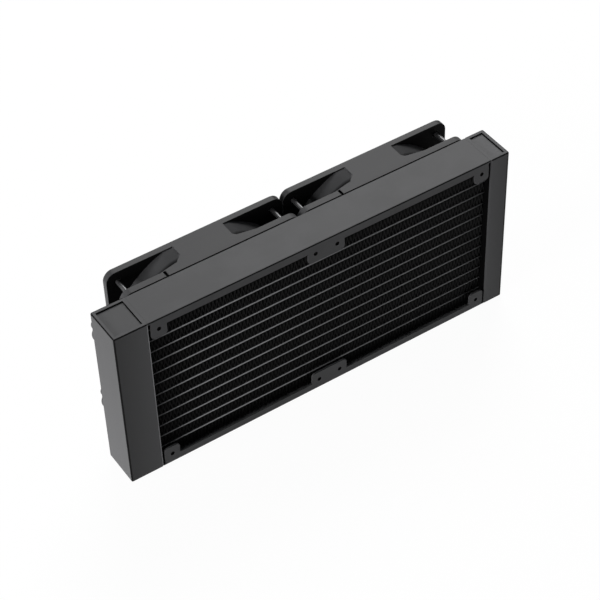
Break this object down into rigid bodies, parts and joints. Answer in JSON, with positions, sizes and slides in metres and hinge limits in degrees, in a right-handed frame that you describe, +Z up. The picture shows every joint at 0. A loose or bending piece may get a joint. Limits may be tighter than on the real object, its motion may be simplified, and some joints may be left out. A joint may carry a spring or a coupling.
{
  "type": "liquid cooler radiator with fans",
  "caption": "Long black finned radiator on its edge, with end tanks, folded side plates with screw tabs, and square axial fans screwed side by side on its back.",
  "frame": {"origin": "middle of the underside of the whole assembly, where it stands on its long edge", "axes": "+X along the radiator from the wide tank to the narrow one, +Y from the open front towards the fans, +Z up"},
  "size_m": [0.274, 0.0538, 0.1196],
  "materials": {
    "black_metal": "fine matte black powder coat",
    "fin_metal": "thin matte black paint",
    "frame_plastic": "moulded matte black",
    "rotor_plastic": "moulded satin black",
    "screw_steel": "black oxide",
    "steel": "plain",
    "ferrite": "matte",
    "bronze": "sintered",
    "copper": "enamelled wire",
    "board": "solder resist"
  },
  "bodies": {
    "radiator": {"left_tank": "black_metal", "right_tank": "black_metal", "left_tank_top_cap": "black_metal", "left_tank_bottom_cap": "black_metal", "right_tank_top_cap": "black_metal", "right_tank_bottom_cap": "black_metal", "left_tank_divider": "black_metal", "top_side_plate": "black_metal", "bottom_side_plate": "black_metal", "coolant_tube_01": "fin_metal", "coolant_tube_02": "fin_metal", "coolant_tube_03": "fin_metal", "coolant_tube_04": "fin_metal", "coolant_tube_05": "fin_metal", "coolant_tube_06": "fin_metal", "coolant_tube_07": "fin_metal", "coolant_tube_08": "fin_metal", "coolant_tube_09": "fin_metal", "coolant_tube_10": "fin_metal", "coolant_tube_11": "fin_metal", "coolant_tube_12": "fin_metal", "fin_strip_01": "fin_metal", "fin_strip_02": "fin_metal", "fin_strip_03": "fin_metal", "fin_strip_04": "fin_metal", "fin_strip_05": "fin_metal", "fin_strip_06": "fin_metal", "fin_strip_07": "fin_metal", "fin_strip_08": "fin_metal", "fin_strip_09": "fin_metal", "fin_strip_10": "fin_metal", "fin_strip_11": "fin_metal", "fin_strip_12": "fin_metal", "fin_strip_13": "fin_metal", "inlet_fitting": "black_metal", "outlet_fitting": "black_metal", "fan_screws": "screw_steel", "left_fan_frame": "frame_plastic", "left_fan_bearing": "bronze", "left_stator_core": "steel", "left_stator_windings": "copper", "left_motor_board": "board", "right_fan_frame": "frame_plastic", "right_fan_bearing": "bronze", "right_stator_core": "steel", "right_stator_windings": "copper", "right_motor_board": "board"},
    "left_rotor": {"left_fan_impeller": "rotor_plastic", "left_rotor_yoke": "steel", "left_magnet_ring": "ferrite", "left_fan_shaft": "steel", "left_shaft_clip": "steel"},
    "right_rotor": {"right_fan_impeller": "rotor_plastic", "right_rotor_yoke": "steel", "right_magnet_ring": "ferrite", "right_fan_shaft": "steel", "right_shaft_clip": "steel"}
  },
  "joints": [
    {"name": "left_fan_spin", "type": "hinge", "parent": "radiator", "child": "left_rotor", "pos_m": [-0.056, 0.01205, 0.0598], "axis": [0, 1, 0], "continuous": true},
    {"name": "right_fan_spin", "type": "hinge", "parent": "radiator", "child": "right_rotor", "pos_m": [0.064, 0.01205, 0.0598], "axis": [0, 1, 0], "continuous": true}
  ]
}
